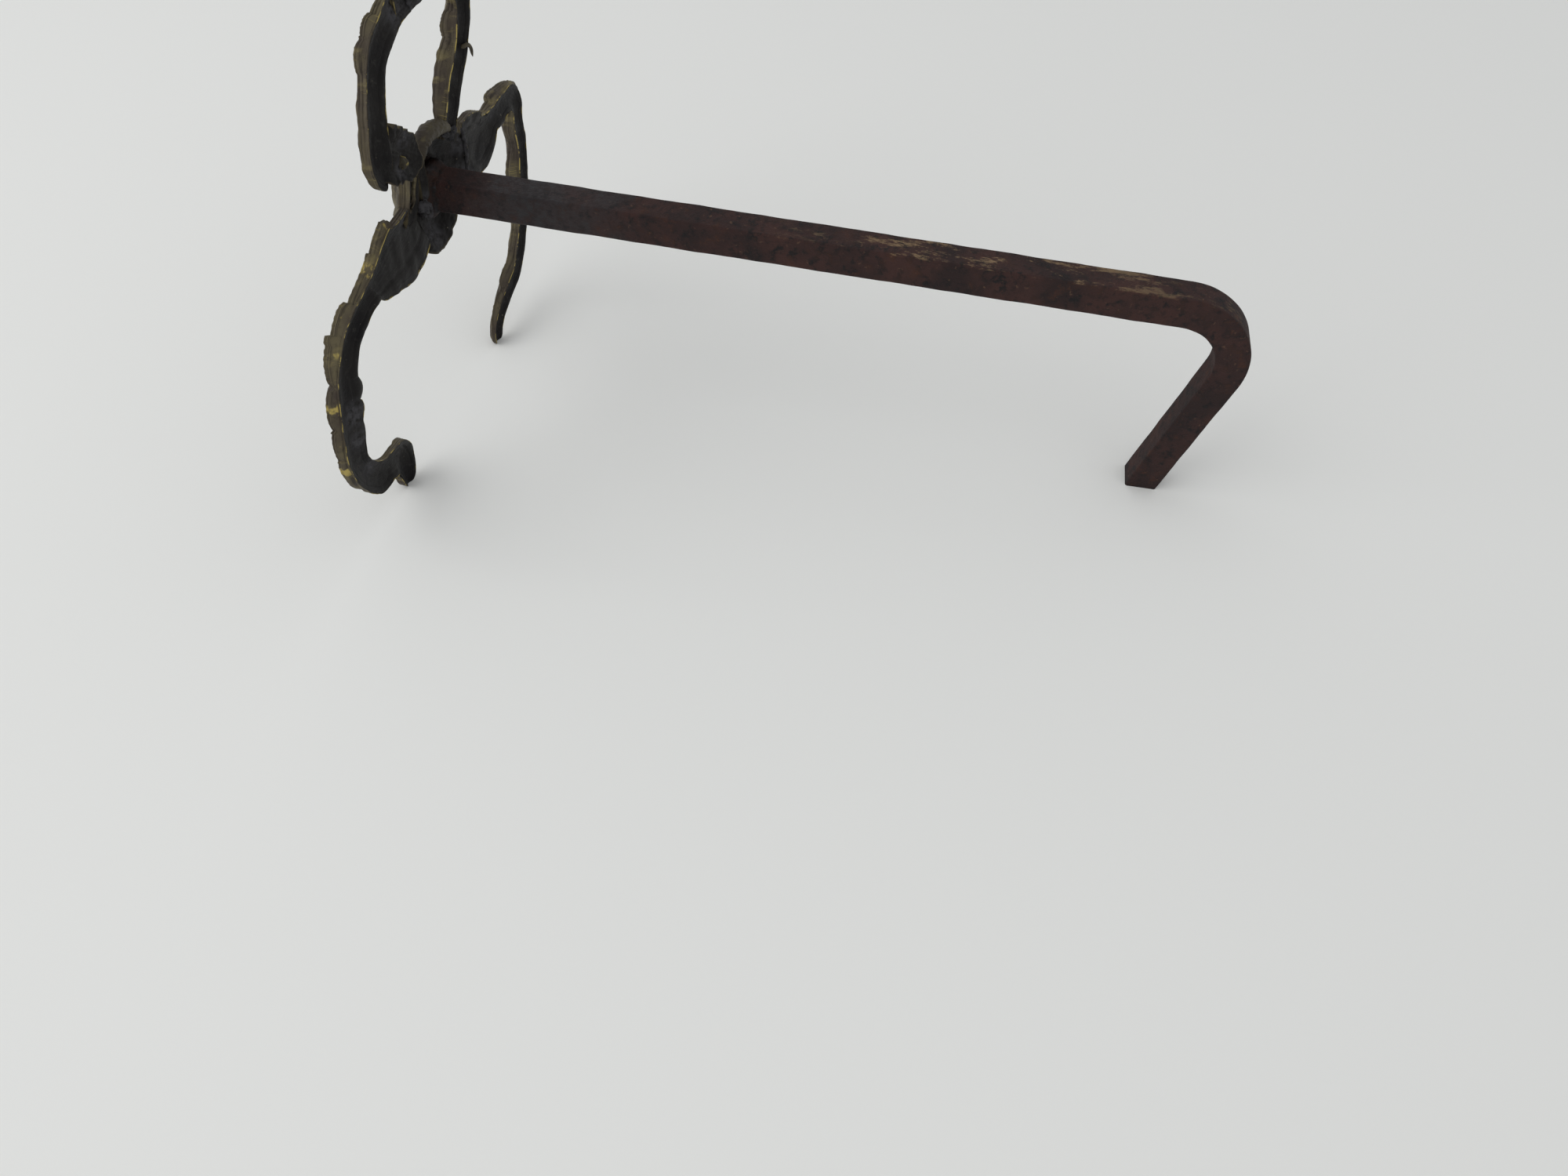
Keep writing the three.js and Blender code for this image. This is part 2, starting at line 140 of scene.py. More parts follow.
class Finish:
    """A node material in the making: each call adds a node, sets or joins its inputs, and gives back
    an output."""

    def __init__(self, name, **constants):
        self.material = bpy.data.materials.new(name)
        self.material.use_nodes = True
        self.tree = self.material.node_tree
        self.shader = self.tree.nodes["Principled BSDF"]
        for socket, value in constants.items():
            self.shader.inputs[socket.replace("_", " ")].default_value = value
        self.place = self.add("TexCoord", output="Object")

    def add(self, kind, *inputs, output=0, **settings):
        node = self.tree.nodes.new("ShaderNode" + kind)
        for key, value in settings.items():
            setattr(node, key, value)
        for socket, value in zip(node.inputs, inputs):
            self.join(socket, value)
        return node.outputs[output]

    def join(self, socket, value):
        if isinstance(value, bpy.types.NodeSocket):
            self.tree.links.new(value, socket)
        elif value is not None:
            socket.default_value = value

    def noise(self, scale, detail, rough=0.55, stretch=None, over=None, line=None):
        """Noise over Object coordinates, which may be stretched, over another vector, or on a line."""
        node = self.tree.nodes.new("ShaderNodeTexNoise")
        if line is not None:
            node.noise_dimensions = "1D"
            self.join(node.inputs["W"], line)
        elif stretch:
            self.join(node.inputs["Vector"], self.add("Mapping", self.place, None, None, stretch))
        else:
            self.join(node.inputs["Vector"], over or self.place)
        self.join(node.inputs["Scale"], scale)
        self.join(node.inputs["Detail"], detail)
        self.join(node.inputs["Roughness"], rough)
        return node.outputs[0]

    def times(self, first, second):
        return self.add("Math", first, second, operation="MULTIPLY")

    def plus(self, first, second):
        return self.add("Math", first, second, operation="ADD")

    def between(self, value, low, high, to_low=0.0, to_high=1.0):
        return self.add("MapRange", value, low, high, to_low, to_high)

    def blend(self, share, first, second):
        node = self.tree.nodes.new("ShaderNodeMix")
        node.data_type = "RGBA"
        share_socket, first_socket, second_socket = (node.inputs[number] for number in (0, 6, 7))
        self.join(share_socket, share)
        self.join(first_socket, first)
        self.join(second_socket, second)
        return node.outputs[2]

    def mark(self, name):
        return self.add("Attribute", output="Fac", attribute_name=name)

    def split(self, vector):
        node = self.tree.nodes.new("ShaderNodeSeparateXYZ")
        self.join(node.inputs[0], vector)
        return node.outputs

    def finish(self, colour, roughness, height, depth, metal=None):
        """Joins the colour, the roughness, a bump of this depth and, if given, the metal."""
        bump = self.tree.nodes.new("ShaderNodeBump")
        bump.inputs["Distance"].default_value = depth
        self.join(bump.inputs["Height"], height)
        self.join(self.shader.inputs["Base Color"], colour)
        self.join(self.shader.inputs["Roughness"], roughness)
        self.join(self.shader.inputs["Metallic"], metal)
        self.join(self.shader.inputs["Normal"], bump.outputs[0])
        return self.material


def rust():
    """Red-brown scale, mottled with near-black and dotted with orange, a blue-grey smooth stretch near
    the front, and pale yellow scuffs on the rear half of the top. Pits and scale show in the bump."""
    dark_brown = (0.024, 0.0128, 0.0122, 1)
    red_brown = (0.047, 0.0205, 0.0172, 1)
    black_scale = (0.0110, 0.0085, 0.0090, 1)
    orange_scale = (0.085, 0.031, 0.018, 1)
    pale_speck = (0.135, 0.075, 0.045, 1)
    blue_grey = (0.020, 0.0195, 0.0215, 1)
    yellow_scuff = (0.26, 0.175, 0.095, 1)
    bump_depth = 0.7 * mm

    look = Finish("rusted_iron", Metallic=0.0, Specular_IOR_Level=0.3)
    _, y, _ = look.split(look.place)
    broad = look.noise(42, 3)
    fine = look.noise(240, 6, 0.65)
    grit = look.noise(1100, 4, 0.7)
    brown = look.blend(look.between(broad, 0.38, 0.62), dark_brown, red_brown)
    brown = look.blend(look.between(fine, 0.49, 0.62), brown, black_scale)
    scale = look.between(look.noise(120, 5, 0.7), 0.55, 0.68)
    brown = look.blend(look.times(scale, 0.55), brown, orange_scale)
    specks = look.between(look.noise(420, 3, 0.5), 0.66, 0.74)
    brown = look.blend(look.times(specks, 0.5), brown, pale_speck)

    ragged = look.plus(y, look.between(broad, 0.3, 0.7, -18 * mm, 18 * mm))
    from_front = look.between(ragged, -172 * mm, -150 * mm)
    to_rear = look.between(ragged, -120 * mm, -85 * mm, 1, 0)
    smooth = look.times(look.times(from_front, to_rear), look.between(fine, 0.36, 0.6, 0.9, 0.35))
    colour = look.blend(smooth, brown, blue_grey)

    normal = look.split(look.add("NewGeometry", output="Normal"))
    top = look.between(normal[2], 0.4, 0.9)
    rear_half = look.times(look.between(y, -30 * mm, 40 * mm), look.between(y, 110 * mm, 160 * mm, 1, 0.45))
    scuffs = look.between(look.noise(120, 8, 0.80, stretch=(1.0, 0.30, 1.0)), 0.535, 0.61)
    worn = look.times(look.times(top, rear_half), scuffs)
    colour = look.blend(look.times(worn, 0.85), colour, yellow_scuff)

    height = look.plus(look.times(look.between(fine, 0.35, 0.7), 0.6), look.times(grit, 0.4))
    roughness = look.between(smooth, 0, 1, 0.85, 0.5)
    return look.finish(colour, roughness, height, bump_depth)


collar_low, collar_high = (np.array(corner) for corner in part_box("bar_collar"))
collar_middle = (collar_low + collar_high) / 2
bar_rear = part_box("log_bar")[1][1]

bar_run = np.array([-math.sin(bar_skew) * math.cos(bar_fall), math.cos(bar_skew) * math.cos(bar_fall),
                    -math.sin(bar_fall)])
bar_aside = np.array([math.cos(bar_skew), math.sin(bar_skew), 0.0])
bar_rise = np.cross(bar_aside, bar_run)
bar_root = collar_middle + collar_to_backs * bar_run  # where its axis meets the plane of the backs


def across_bar(section, run):
    """A section of (aside, rise) put across the bar at a distance along it from its root."""
    return bar_root + run * bar_run + section[:, :1] * bar_aside + section[:, 1:] * bar_rise


def bar_rings(bend_at):
    """The bar's section, carried from its shoulder along a straight line, round a quarter turn and a
    little more, and down a straight rear leg. Its last ring is where the leg meets the floor."""
    turn = math.pi / 2 + rear_lean - bar_fall
    straight = bend_at + bar_shoulder
    arc = bend_radius * turn
    run = np.concatenate([np.linspace(0, straight, straight_rings),
                          straight + np.linspace(0, arc, bend_rings)[1:],
                          straight + arc + np.linspace(0, rear_leg, leg_rings)[1:]])
    angle = np.clip((run - straight) / bend_radius, 0, turn)
    beyond = np.maximum(run - straight - arc, 0)
    level = (np.minimum(run, straight) - bar_shoulder + bend_radius * np.sin(angle)
             + beyond * math.cos(turn))
    drop = bend_radius * (1 - np.cos(angle)) + beyond * math.sin(turn)
    centre = bar_root + level[:, None] * bar_run - drop[:, None] * bar_rise
    out = np.sin(angle)[:, None] * bar_run + np.cos(angle)[:, None] * bar_rise
    section = rounded_square(bar_side / 2, bar_edge)
    swell = 1 - bar_wave / bar_side * (1 + wander(run, 4, 70 * mm))
    rings = (centre[:, None, :] + swell[:, None, None]
             * (section[None, :, :1] * bar_aside + section[None, :, 1:] * out[:, None, :]))
    rings = rings[rings[..., 2].min(1) > sole_gap]
    down = math.cos(turn) * bar_run - math.sin(turn) * bar_rise
    sole = rings[-1] - rings[-1][:, 2:] / down[2] * down
    return np.concatenate([rings, sole[None]])


bend_at = 360 * mm
for _ in range(2):
    bend_at += bar_rear - bar_rings(bend_at)[..., 1].max()
iron = rust()
skin("log_bar_forged", bar_rings(bend_at), iron, replaced=["log_bar"])
tenon = rounded_square(tenon_half, bar_edge)
tenon_runs = np.linspace(tenon_from, tenon_to, tenon_rings)
skin("bar_tenon", np.stack([across_bar(tenon, run) for run in tenon_runs]), iron)

# ---- The collar ----
# A square socket of brass behind the cartouche, brazed in place, that holds the bar's front end. Only
# its rough rear edge shows, down in the hollow.

collar_half = 10.6 * mm
collar_corner = 3.3 * mm
socket_half = 7.95 * mm
socket_corner = 0.8 * mm
collar_lumps = 0.45 * mm  # how far the brazing on its sides swells and sinks
collar_stops = [(-13.4, 0.80), (-13, 0.98), (-9, 1.0), (-6.5, 1.06), (-5, 1.05), (-3.6, 0.98), (-2.2, 0.90),
                (-1, 0.83), (0.2, 0.785), (0.7, 0.765)]  # millimetres from the bar's root, and the size
socket_stops = [0.4, -1.5, -5]


def field(places, seed, longest):
    """A smooth random height at places in space, about 1 high: the sum of 12 plane sine waves in random
    directions, with lengths from "longest" down to a third of it."""
    waves = 12
    draw = np.random.default_rng(seed)
    pitches = unit(draw.normal(size=(waves, 3))) / (longest * draw.uniform(0.35, 1.0, waves))[:, None]
    turns = draw.uniform(0, 2 * np.pi, waves)
    return np.sin(2 * np.pi * (places @ pitches.T) + turns).sum(-1) / waves ** 0.5


def finer(rings, steps):
    """More rings between the given ones, in straight lines."""
    at = np.linspace(0, len(rings) - 1, steps * (len(rings) - 1) + 1)
    low = np.minimum(at.astype(int), len(rings) - 2)
    share = (at - low)[:, None, None]
    return rings[low] * (1 - share) + rings[low + 1] * share


def tarnish(name, wear, grain):
    """Cast brass gone dark: nearly black on the backs, brown to olive on the walls and fronts with painted
    shade darkening their folds and a few fine file marks across, gold where an edge is rubbed, and dull
    grey where brazing has run.
    Around the bar's root it is stained with rust. "wear" is how bright the gold is, and "grain" makes
    the mottling finer."""
    back_black = (0.0064, 0.0056, 0.0060, 1)
    back_brown = (0.0150, 0.0135, 0.0125, 1)
    back_dust = (0.030, 0.028, 0.026, 1)
    side_brown = (0.068, 0.054, 0.043, 1)
    side_olive = (0.130, 0.109, 0.064, 1)
    # painted shade: the colour that the walls darken to in their folds
    painted_fold_shade = (0.030, 0.024, 0.020, 1)
    pit_black = (0.022, 0.019, 0.015, 1)
    streak_gold = (0.225, 0.186, 0.088, 1)
    file_gold = (0.30, 0.24, 0.085, 1)
    rubbed_gold = (0.52, 0.41, 0.13, 1)
    braze_grey = (0.062, 0.060, 0.064, 1)
    pale_speck = (0.20, 0.18, 0.14, 1)
    rust_stain = (0.034, 0.0165, 0.0125, 1)
    stain_from = 9.5 * mm  # the distances from the bar's root between which the stain fades
    stain_to = 18 * mm
    bump_depth = 0.5 * mm

    look = Finish(name, Specular_IOR_Level=0.12)
    wall, arris, braze = (look.mark(key) for key in ("wall", "arris", "braze"))
    along, turned = (look.mark(key) for key in ("along", "round"))
    broad = look.noise(48 + grain, 3)
    fine = look.noise(400, 5, 0.62)
    grit = look.noise(1500, 3, 0.6)
    with_the_run = look.add("CombineXYZ", look.times(along, 38.0), look.times(turned, 70.0))
    folds = look.noise(1.0, 4.0, 0.5, over=with_the_run)

    back = look.blend(look.between(broad, 0.35, 0.65), back_black, back_brown)
    back = look.blend(look.between(fine, 0.55, 0.75), back, back_dust)
    side = look.blend(look.between(broad, 0.36, 0.64), side_brown, side_olive)
    # Painted shade: the walls darken along their folds.
    side = look.blend(look.between(folds, 0.50, 0.64, 0, 0.8), side, painted_fold_shade)
    side = look.blend(look.between(fine, 0.56, 0.74, 0, 0.6), side, pit_black)
    streak = look.noise(60, 5, 0.6, stretch=(1.0, 1.0, 3.0))
    side = look.blend(look.between(streak, 0.56, 0.70, 0, 0.7), side, streak_gold)
    colour = look.blend(wall, back, side)

    lines = look.between(look.noise(1500, 2.0, 0.5, line=along), 0.60, 0.70)
    filed = look.between(look.noise(95, 4), 0.56, 0.64)
    lines = look.times(look.times(lines, filed), look.times(wall, 0.7))
    colour = look.blend(look.times(lines, wear), colour, file_gold)
    rubbed = look.times(arris, look.between(look.noise(150, 4, 0.6), 0.46, 0.58))
    rubbed = look.between(rubbed, 0.35, 0.85)
    colour = look.blend(look.times(rubbed, wear), colour, rubbed_gold)
    patches = look.times(braze, look.between(look.noise(330, 4, 0.6), 0.36, 0.56))
    colour = look.blend(patches, colour, braze_grey)
    specks = look.between(look.noise(700, 2, 0.5), 0.735, 0.765)
    colour = look.blend(look.times(specks, 0.6), colour, pale_speck)
    from_root = look.add("VectorMath", look.place, bar_root, output="Value", operation="DISTANCE")
    stain = look.between(from_root, stain_from, stain_to, 1, 0)
    stain = look.times(stain, look.between(look.noise(170, 4, 0.6), 0.40, 0.58))
    colour = look.blend(stain, colour, rust_stain)

    metal = look.between(rubbed, 0, 1, 0.1, 0.85)
    roughness = look.between(look.plus(patches, look.times(fine, 0.35)), 0, 1, 0.42, 0.9)
    height = look.plus(look.times(fine, 0.45), look.times(grit, 0.2))
    height = look.plus(height, look.times(folds, 0.5))
    return look.finish(colour, roughness, height, bump_depth, metal)


brasses = {"brass": tarnish("cast_brass", 0.85, 0), "dark_brass": tarnish("blackened_brass", 0.25, 7)}


def cast(name, surface, slot="brass", replaced=()):
    """A piece of brass from its rings and the marks for its material."""
    rings, marks = surface
    skin(name, rings, brasses[slot], marks, replaced)


def plain(wall=0.0, arris=0.0, braze=0.0):
    """Marks for a piece whose finish doesn't follow its shape."""
    return {"wall": wall, "arris": arris, "braze": braze, "along": 0.0, "round": 0.0}


collar = rounded_square(collar_half, collar_corner)
socket = rounded_square(socket_half, socket_corner)
collar_rings = [across_bar(collar * size, stop * mm) for stop, size in collar_stops]
collar_rings += [across_bar(socket, stop * mm) for stop in socket_stops]
collar_rings = finer(np.stack(collar_rings), 5)
lumpy = field(collar_rings / mm, 21, 14) + 0.4 * field(collar_rings / mm, 22, 5)
collar_axis = bar_root + ((collar_rings - bar_root) @ bar_run)[..., None] * bar_run
collar_rings += unit(collar_rings - collar_axis) * np.clip(lumpy, -1, 1)[..., None] * collar_lumps
cast("bar_collar_brazed", (collar_rings, plain(braze=np.clip(0.4 + 0.5 * lumpy, 0, 1))), "dark_brass",
     replaced=["bar_collar"])

# ---- The right leg ----
# A long cast scroll, hollow along its back. It leaves the cartouche with a broad leaf below, turns
# down with a ruffled inner edge, and curls in under itself to a scrolled foot. Left and right are as
# seen from the front, where +X is right.

front_lean = math.radians(5.3)
front_origin = bar_root + np.array([2.5 * mm, 0.0, 0.0])
rings_per_span = 20
edge_depth = 4.5  # all that is on the drawing is in millimetres, from here on
crown_depth = 3.5
channel_depth = 2.4
groove_depth = 0.4
ruffle_depth = 0.8
vein_depth = 0.10  # as a share of the lump that the veins cross
end_reach = 4.0  # a rounded end closes over this length
even_reach = 8  # near its ends a casting is even, where its neighbours meet it
shrink = 0.35  # the skin is drawn in by this, so that its unevenness stays within the solid
front_shrink = 0.36


def drawn(across, up, deep):
    """Places on the drawing, in millimetres, put in the andiron: the drawing's plane is that of the
    castings' backs, it leans back, and "deep" is measured from it towards the front."""
    across, up, deep = np.broadcast_arrays(across, up, deep)
    ahead, above = math.cos(front_lean), math.sin(front_lean)
    return front_origin + np.stack([across, up * above - deep * ahead, up * ahead + deep * above], -1) * mm


def over_floor(height):
    """A height over the floor, as "up" on the drawing."""
    return (height - front_origin[2] / mm) / math.cos(front_lean)


def through(rows, steps):
    """A smooth curve through rows of numbers: each span is a cubic whose end slopes come from the
    neighbouring rows, spaced by the square root of their distance. Gives values and their slopes."""
    rows = np.asarray(rows, float)
    rows = np.concatenate([[2 * rows[0] - rows[1]], rows, [2 * rows[-1] - rows[-2]]])
    gaps = np.linalg.norm(np.diff(rows[:, :2], axis=0), axis=1)[:, None] ** 0.5
    share = np.linspace(0, len(rows) - 3, steps * (len(rows) - 3) + 1)
    span = np.minimum(share.astype(int), len(rows) - 4)
    t = (share - span)[:, None]
    a, b, c, d = rows[span], rows[span + 1], rows[span + 2], rows[span + 3]
    e, f, g = gaps[span], gaps[span + 1], gaps[span + 2]
    leave = ((b - a) / e - (c - a) / (e + f) + (c - b) / f) * f
    reach = ((c - b) / f - (d - b) / (f + g) + (d - c) / g) * f
    bend = 2 * b - 2 * c + leave + reach
    turn = -3 * b + 3 * c - 2 * leave - reach
    return share, b + leave * t + turn * t ** 2 + bend * t ** 3, leave + 2 * turn * t + 3 * bend * t ** 2


def distances(spots):
    """How far along a path each of its points lies."""
    return np.concatenate([[0], np.cumsum(np.linalg.norm(np.diff(spots[:, :2], axis=0), axis=1))])


def bell(value, middle, width):
    """1 at the middle, falling off to either side as exp(-((value - middle) / width)^2)."""
    return math.exp(-((value - middle) / width) ** 2)


def half_section():
    """Half of a scroll's section, from the middle of its back round to the middle of its front: a
    channel with a ridge in it, an edge, a wall with two grooves, and a crown with a bead. The columns
    are the place out from the middle as a share of the half width, the shares of channel, wall and
    crown that make its depth, a shift outwards in millimetres, and marks for its material: 1 on walls
    and front, and 1 on a rubbed edge."""
    channel_edge = 0.84
    roll_edge = 0.74
    bead_height = 0.26
    rows = []
    for out in np.linspace(0, channel_edge, 22):
        dish = math.cos(math.pi / 2 * out / channel_edge) ** 1.2
        rows.append((out, dish + 0.16 * bell(out, 0.60, 0.045), 0, 0, 0, 0, 0))
    rows += [(0.90, 0, 0, 0, 0, 0, 0), (0.955, 0, 0, 0, 0, 0.05, 0.25), (0.985, 0, 0.02, 0, 0, 0.4, 1.0),
             (1.0, 0, 0.07, 0, -0.05, 0.8, 0.95)]
    for wall in np.linspace(0.13, 0.95, 13):
        grooves = bell(wall, 0.42, 0.07) + bell(wall, 0.74, 0.07)
        rows.append((1.0, 0, wall, 0, -groove_depth * grooves, 1, max(0.0, 0.7 - wall * 4.5)))
    rows += [(0.985, 0, 1.0, 0.02, 0, 1, 0.45), (0.95, 0, 1.0, 0.10, 0, 1, 0.2)]
    for out in np.linspace(0.91, 0, 15):
        bead = bead_height * bell(out, 0.86, 0.07)
        roll = (0.5 + 0.5 * math.cos(math.pi * min(1, out / roll_edge))) ** 0.8
        rows.append((out, 0, 1.0, bead + roll * (1 - bead), 0, 1, 0.7 * bead / bead_height * (out > 0.8)))
    return np.array(rows)


def lump(share, start, end, peak, power):
    """A swelling between two places along a path: a half sine to a power, skewed so that it is highest
    at "peak" of the way."""
    inside = np.clip((share - start) / (end - start), 0, 1) ** (math.log(0.5) / math.log(peak))
    return np.clip(np.sin(np.pi * inside), 0, 1) ** power


def brazed(across, up, spots, walled):
    """How much brazing shows: 1 within each spot (across, up, reach), fading outwards and on walls."""
    patches = np.zeros_like(across)
    for at_across, at_up, reach in spots:
        distance = np.hypot(across - at_across, up - at_up)
        patches = np.maximum(patches, np.clip(1.6 - 1.6 * distance / reach, 0, 1) * (1 - 0.8 * walled))
    return patches


def rough(places, seed, broad, fine):
    """The unevenness of a casting's skin: broad and fine waves, each given as (height, longest wave)."""
    return broad[0] * field(places, seed, broad[1]) + fine[0] * field(places, seed + 50, fine[1])


def scroll(points, *, seed, lumps=(), ruffles=(), skirts=(), braze=(), rounded=(False, True), gold=1.0,
           dull_until=-1.0, shiny=0.3):
    """A cast scroll: the half section and its mirror image, carried along a curve through points of
    (across, up, width, deep, wall). Lumps of leaf (start, end, side, stand, rise, peak) swell a side
    outwards and forwards, ruffles (start, end, side, notches, stand) notch a back edge, and skirts
    (start, end, side, reach, peak) widen a side. They start and end at numbers of points, and side is
    +1 on the left of the run and -1 on the right. Either end may be rounded, and all of it is a little
    uneven. Gives the rings, and the marks for the material."""
    share, spots, slopes = through(points, rings_per_span)
    run = unit(slopes[:, :2])
    left = np.stack([-run[:, 1], run[:, 0]], -1)
    along = distances(spots)
    half_rows = half_section()
    rows = np.concatenate([half_rows, half_rows[1:-1][::-1]])
    side = np.concatenate([np.ones(len(half_rows)), -np.ones(len(half_rows) - 2)])
    out, channel, wall, crown, shift, walled, arris = rows.T
    on_edge = np.clip(out, 0, 1) ** 3 * (wall > 0.4)
    on_back = (wall < 0.1) & (out < 0.97)
    on_front = (wall > 0.9) & (out < 0.99)

    half = np.broadcast_to(spots[:, 2:3] / 2, (len(share), len(side)))
    for start, end, which, reach, peak in skirts:
        half = half + reach * lump(share, start, end, peak, 0.5)[:, None] * (side == which)
    sideways = out * (half - shrink) + shift * np.minimum(1, half / 6)
    depth = (channel * channel_depth * np.clip(half / 8, 0.45, 1.25) + wall * (spots[:, 4:5] - shrink)
             + crown * crown_depth)

    tips = np.zeros_like(half)
    for start, end, which, stand, rise, peak in lumps:
        shape = lump(share, start, end, peak, 0.55)[:, None] * (side == which)
        inside = np.clip((share - start) / (end - start), 0, 1)[:, None]
        vein = 1 + vein_depth * np.sin(14 * np.pi * inside) * (wall > 0.9)
        sideways = sideways + stand * shape * on_edge
        depth = depth + rise * shape * on_edge * vein
        tip = lump(share, start, end, peak, 7)[:, None] * (side == which)
        tips = tips + shiny * tip * (wall > 0.2) * (out > 0.97)
    for start, end, which, notches, stand in ruffles:
        inside = np.clip((share - start) / (end - start), 0, 1)[:, None]
        fade = np.sin(np.pi * inside) ** 0.5 * (side == which)
        tooth = np.abs(np.sin(np.pi * notches * inside)) ** 0.6
        sideways = sideways + stand * (0.1 + 0.9 * tooth) * fade * np.clip((out - 0.5) / 0.5, 0, 1)
        notched = (1 - tooth) * fade * np.clip((out - 0.35) / 0.5, 0, 1) * (wall < 0.1)
        depth = depth + ruffle_depth * notched

    depth = spots[:, 3:4] + depth
    middle = spots[:, 3:4] + edge_depth * 0.6
    for at, flag in zip((0, -1), rounded):
        if flag:
            reach = np.clip(np.abs(along - along[at]) / end_reach, 0, 1)[:, None]
            close = np.sqrt(1 - (1 - reach) ** 2) * 0.75 + 0.25
            sideways = sideways * close
            depth = middle + (depth - middle) * close
    across = spots[:, 0:1] + left[:, 0:1] * side * sideways
    up = spots[:, 1:2] + left[:, 1:2] * side * sideways

    places = np.stack([across, up, depth], -1)
    uneven = np.clip(rough(places, seed, (0.34, 17), (0.08, 6)), -shrink, shrink)
    to_end = np.minimum(along, along[-1] - along)[:, None]
    uneven = uneven * np.clip(to_end / even_reach, 0.1, 1)
    depth = depth + uneven * (1.0 * on_front - on_back) - front_shrink * on_front + shrink * on_back
    across = across + left[:, 0:1] * side * uneven * out
    up = up + left[:, 1:2] * side * uneven * out
    rings = drawn(across, up, depth)
    rings[..., 2] = np.maximum(rings[..., 2], 0)

    rubbed = np.clip(gold * arris + tips, 0, 1) * np.clip(share - dull_until, 0, 1)[:, None]
    marks = {"wall": walled, "arris": rubbed, "braze": brazed(across, up, braze, walled),
             "along": along[:, None] * mm, "round": np.arange(len(side)) / len(side)}
    return rings, marks


right_leg_points = [
    (25, 9, 20, 0.7, 4.5), (36, 6, 22, 0.1, 4.5), (54, 3, 21, 0, 4.5), (70, -2, 16, 0, 4.5),
    (85, -5, 15, 0, 4.5), (99, -10, 16, 0, 5), (109, -21, 17, 0, 5), (113.8, -35, 18, 0, 4.5),
    (117.7, -50, 17.6, 0, 4.5), (118.7, over_floor(62), 16.6, 1, 4.5), (115, over_floor(45), 15, 2, 4),
    (103, over_floor(30), 19, 2, 4), (92, over_floor(27), 18, 2, 4), (82, over_floor(22), 19, 3, 5),
    (79, over_floor(13), 19, 4, 5), (80, over_floor(5), 14, 3, 5), (81, over_floor(-1), 7, 3, 5),
]
right_leg_lumps = [
    (1.5, 2.75, 1, 3.0, 0.8, 0.12), (2.5, 4.2, 1, 2.2, 0.8, 0.3), (4.2, 5.35, 1, 2.6, 1.8, 0.3),
    (5.1, 6.25, 1, 3.2, 1.8, 0.27), (6.3, 7.7, 1, 3.4, 1.2, 0.45), (7.6, 8.8, 1, 2.8, 1.0, 0.35),
    (8.7, 10.2, 1, 2.2, 0.8, 0.3),
]
cast("right_leg_cast", scroll(
    right_leg_points, seed=3, lumps=right_leg_lumps, ruffles=[(6.3, 8.0, -1, 2, 3.4), (7.6, 9.6, -1, 1, 2.0)],
    skirts=[(-0.8, 3.12, -1, 18.5, 0.36), (-1.6, 1.75, 1, -6, 0.45)],
    braze=[(34, 12, 10), (111, -45, 9), (113, -60, 8), (108, -82, 9)], shiny=0.95), replaced=["right_leg"])

# ---- The left leg ----
# A shorter cast scroll: a knee, and a long curl back under it to the foot, with leaf lumps along
# its edges. Its walls are deep. It is brazed to the flat end of the cartouche.

left_leg_points = [
    (-31, 1, 34, 0.4, 4.5), (-41, 0, 34, 0, 4.5), (-52, -4, 30, 0, 5), (-62, -3, 23, 0, 5.5),
    (-69, -1, 16, 0, 6), (-80, -1, 15, 0, 5.5), (-91.5, -1.5, 14.5, 0, 4.2), (-98.5, -8, 13.5, 0, 5),
    (-98.7, -21, 12, 0, 8), (-100.6, -34, 11.6, 0, 7), (-98.8, -48, 12, 0, 7),
    (-96, over_floor(65), 13, 0, 5), (-88, over_floor(44), 13, 0, 5), (-75, over_floor(26), 13, 0, 5),
    (-61, over_floor(21), 12, 0, 4.5), (-48, over_floor(16), 12, 0, 3.2), (-40, over_floor(9), 12, 0, 3),
    (-38, over_floor(-1), 8, 0, 3),
]
left_leg_lumps = [
    (4.3, 6.3, -1, 3.0, 1.0, 0.14), (6.1, 7.0, -1, 2.0, 0.0, 0.62), (8.9, 11.3, 1, 3.6, 1.4, 0.6),
    (11.6, 14.2, 1, 3.0, 1.2, 0.78), (14.4, 15.9, 1, 1.6, 1.0, 0.4),
]
bead_rings_per_span = 14
bead_sides = 28


def bead(points, seed, marks, uneven=0.3):
    """A lumpy run of metal: circles carried along a curve through points of (across, up, radius,
    deep), closed to nothing at either end, with an uneven skin. Gives the rings and the marks."""
    share, spots, slopes = through(points, bead_rings_per_span)
    run = unit(slopes[:, :2])
    turn = np.linspace(0, 2 * np.pi, bead_sides + 1)[:-1]
    close = np.sqrt(np.clip(1 - (2 * share / share[-1] - 1) ** 6, 0.002, 1))[:, None]
    radius = spots[:, 2:3] * close
    across = spots[:, 0:1] - run[:, 1:2] * radius * np.cos(turn)
    up = spots[:, 1:2] + run[:, 0:1] * radius * np.cos(turn)
    depth = spots[:, 3:4] + radius * np.sin(turn)
    places = np.stack([across, up, depth], -1)
    swell = 1 + uneven * field(places, seed, 5)[..., None] * close[..., None]
    middle = spots[:, None, [0, 1, 3]]
    places = middle + (places - middle) * swell
    return drawn(places[..., 0], places[..., 1], places[..., 2]), marks


cast("left_leg_cast", scroll(left_leg_points, seed=5, lumps=left_leg_lumps,
                             braze=[(-33, 12, 6), (-34, -12, 6), (-70, 2, 6)]), replaced=["left_leg"])
bare_braze = plain(braze=0.9)
cast("left_leg_braze", bead([(-31, 16, 0.9, 0.6), (-33, 4, 1.2, 0.8), (-31, -13, 0.9, 0.8)], 64, bare_braze),
     "dark_brass")

